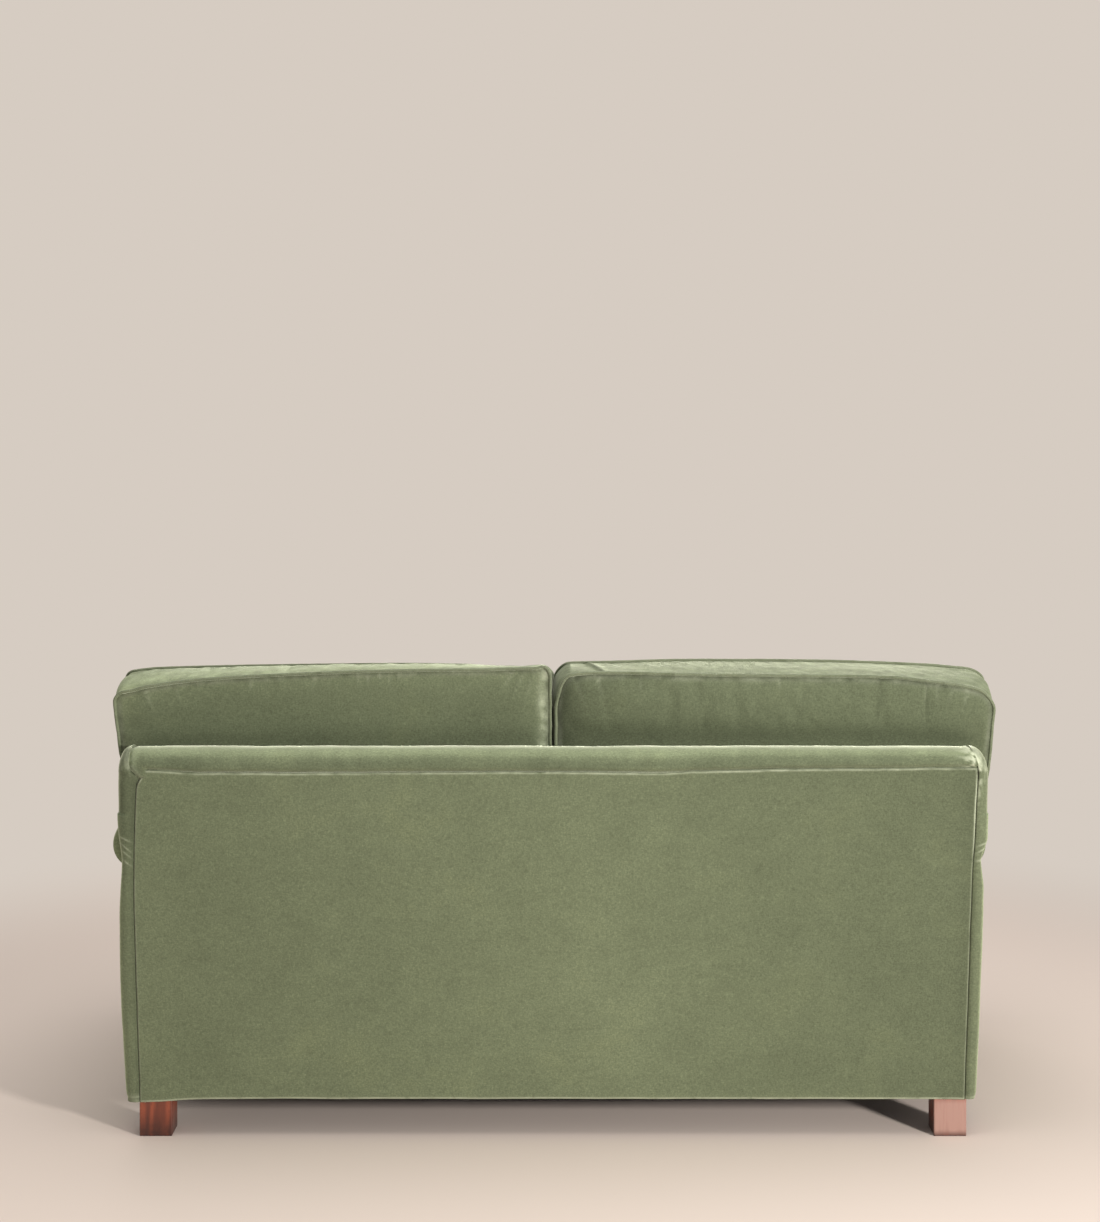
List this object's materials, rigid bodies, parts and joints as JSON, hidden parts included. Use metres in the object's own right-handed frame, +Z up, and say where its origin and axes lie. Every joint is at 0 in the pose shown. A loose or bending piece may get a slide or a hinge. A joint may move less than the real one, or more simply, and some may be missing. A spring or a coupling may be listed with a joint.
{
  "type": "two-seater sofa",
  "caption": "Upholstered sofa for two people, with low rolled arms, a raked back with a padded top roll, block feet and loose seat and back cushions.",
  "frame": {"origin": "on the floor, under the middle of the sofa's box", "axes": "+X points to the sitter's left arm, the sofa faces -Y and its back leans towards +Y, and +Z is up"},
  "size_m": [1.624, 0.92, 0.8692],
  "materials": {
    "green_velvet": "sage green cotton velvet, matt with a soft sheen at grazing angles",
    "stained_hardwood": "red-brown stain under a satin lacquer",
    "beech": "bare sawn beech",
    "spring_steel": "bright drawn wire",
    "elastic_webbing": "woven elastic webbing",
    "black_dust_cloth": "thin black bonded cloth",
    "deck_cloth": "plain green lining cloth"
  },
  "bodies": {
    "sofa_frame": {"seat_rail_front": "beech", "seat_rail_rear": "beech", "seat_rail_left": "beech", "seat_rail_right": "beech", "seat_stretcher": "beech", "corner_block_front_left": "beech", "corner_block_front_right": "beech", "corner_block_rear_left": "beech", "corner_block_rear_right": "beech", "back_post_left": "beech", "back_post_right": "beech", "back_post_centre": "beech", "back_top_rail": "beech", "back_stuffing_rail": "beech", "arm_front_post_left": "beech", "arm_front_post_right": "beech", "arm_top_rail_left": "beech", "arm_top_rail_right": "beech", "arm_stuffing_rail_left": "beech", "arm_stuffing_rail_right": "beech", "seat_spring_1": "spring_steel", "seat_spring_2": "spring_steel", "seat_spring_3": "spring_steel", "seat_spring_4": "spring_steel", "seat_spring_5": "spring_steel", "seat_spring_6": "spring_steel", "back_webbing_1": "elastic_webbing", "back_webbing_2": "elastic_webbing", "back_webbing_3": "elastic_webbing", "back_webbing_4": "elastic_webbing", "foot_front_left": "stained_hardwood", "foot_front_right": "stained_hardwood", "foot_rear_left": "stained_hardwood", "foot_rear_right": "stained_hardwood", "foot_bolt_front_left": "spring_steel", "foot_bolt_front_right": "spring_steel", "foot_bolt_rear_left": "spring_steel", "foot_bolt_rear_right": "spring_steel", "seat_deck": "deck_cloth", "dust_cover": "black_dust_cloth", "outside_back": "green_velvet", "back_border_left": "green_velvet", "back_border_right": "green_velvet", "inside_back": "green_velvet", "back_roll": "green_velvet", "roll_facing_left": "green_velvet", "roll_facing_right": "green_velvet", "arm_pad_left": "green_velvet", "arm_pad_right": "green_velvet", "arm_facing_left": "green_velvet", "arm_facing_right": "green_velvet", "outside_arm_left": "green_velvet", "outside_arm_right": "green_velvet", "front_border": "green_velvet"},
    "loose_seat_left": {"seat_cushion_left": "green_velvet"},
    "loose_seat_right": {"seat_cushion_right": "green_velvet"},
    "loose_back_left": {"back_cushion_left": "green_velvet"},
    "loose_back_right": {"back_cushion_right": "green_velvet"}
  },
  "joints": [
    {"name": "seat_cushion_left_pull", "type": "slide", "parent": "sofa_frame", "child": "loose_seat_left", "axis": [0, -1, 0], "range_m": [0, 0.85]},
    {"name": "seat_cushion_right_pull", "type": "slide", "parent": "sofa_frame", "child": "loose_seat_right", "axis": [0, -1, 0], "range_m": [0, 0.85]},
    {"name": "back_cushion_left_lift", "type": "slide", "parent": "sofa_frame", "child": "loose_back_left", "axis": [0, 0.1132, 0.9936], "range_m": [0, 0.45]},
    {"name": "back_cushion_right_lift", "type": "slide", "parent": "sofa_frame", "child": "loose_back_right", "axis": [0, 0.1132, 0.9936], "range_m": [0, 0.45]}
  ]
}
